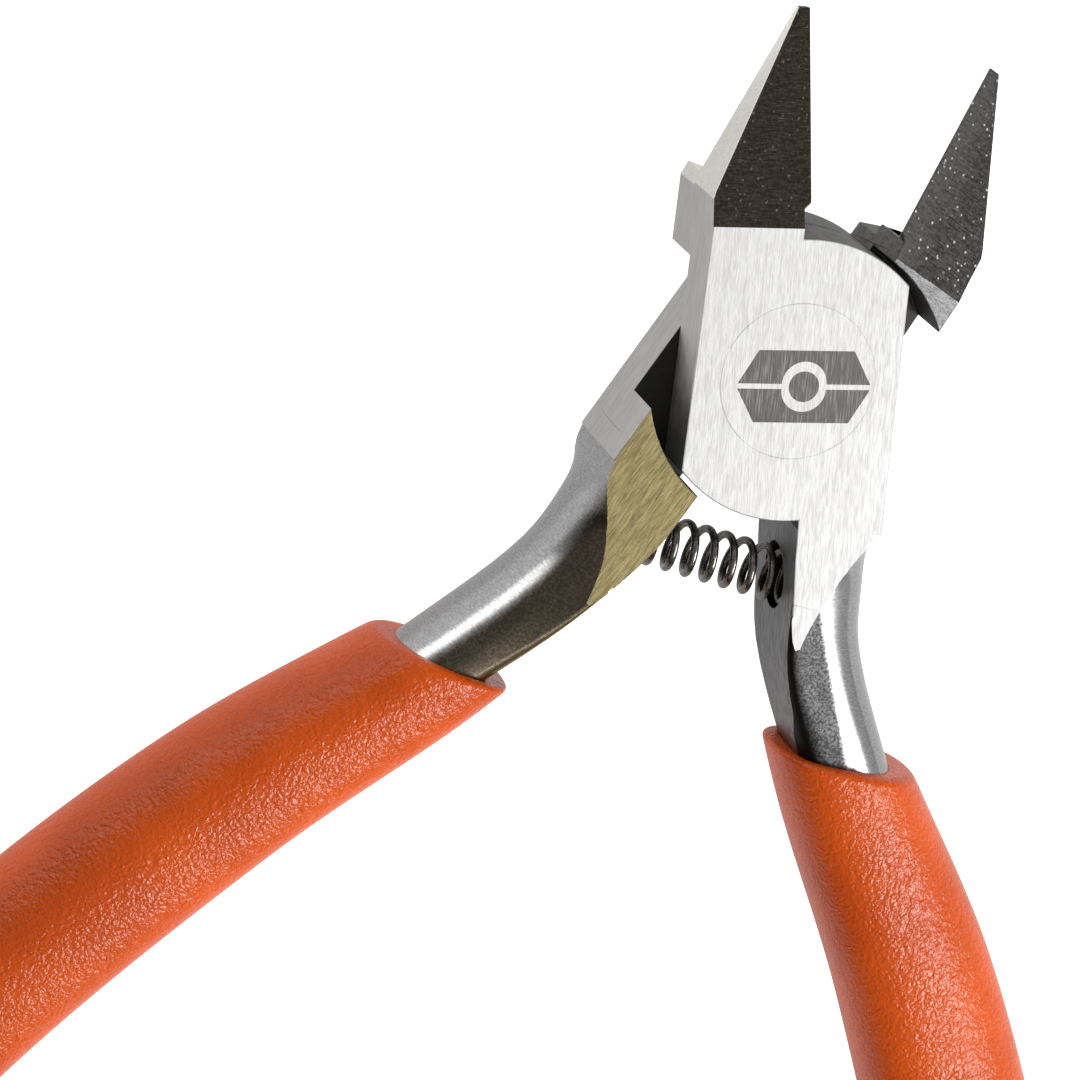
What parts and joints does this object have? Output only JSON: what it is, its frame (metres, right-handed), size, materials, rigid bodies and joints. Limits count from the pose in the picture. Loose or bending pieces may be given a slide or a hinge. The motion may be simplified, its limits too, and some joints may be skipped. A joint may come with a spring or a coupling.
{
  "type": "sprue nippers",
  "caption": "Lap-jointed flush side cutters for trimming plastic sprues: two forged levers on a flush rivet, a coil return spring and soft slip-on grips.",
  "frame": {"origin": "the pivot's axis at the back face of the joint", "axes": "+Z out of the joint's front face along the pivot, +Y along the front lever's cutting edge towards its tip, +X towards the back lever's jaw"},
  "size_m": [0.1054, 0.1248, 0.01],
  "materials": {
    "ground_steel": "ground and brushed faces, polished shanks, dark ground blades",
    "rivet_steel": "ground flush with the joint's faces",
    "spring_steel": "blackened music wire",
    "grip_vinyl": "orange vinyl with a fine pebbled grain"
  },
  "bodies": {
    "front_half": {"front_lever": "ground_steel", "right_grip": "grip_vinyl", "pivot_rivet": "rivet_steel", "return_spring": "spring_steel"},
    "back_half": {"back_lever": "ground_steel", "left_grip": "grip_vinyl"}
  },
  "joints": [
    {"name": "pivot", "type": "hinge", "parent": "front_half", "child": "back_half", "pos_m": [0, 0, 0.0045], "axis": [0, 0, 1], "range_deg": [0, 31.9], "stiffness_Nm_per_rad": 0.14, "deforming": ["return_spring"]}
  ]
}
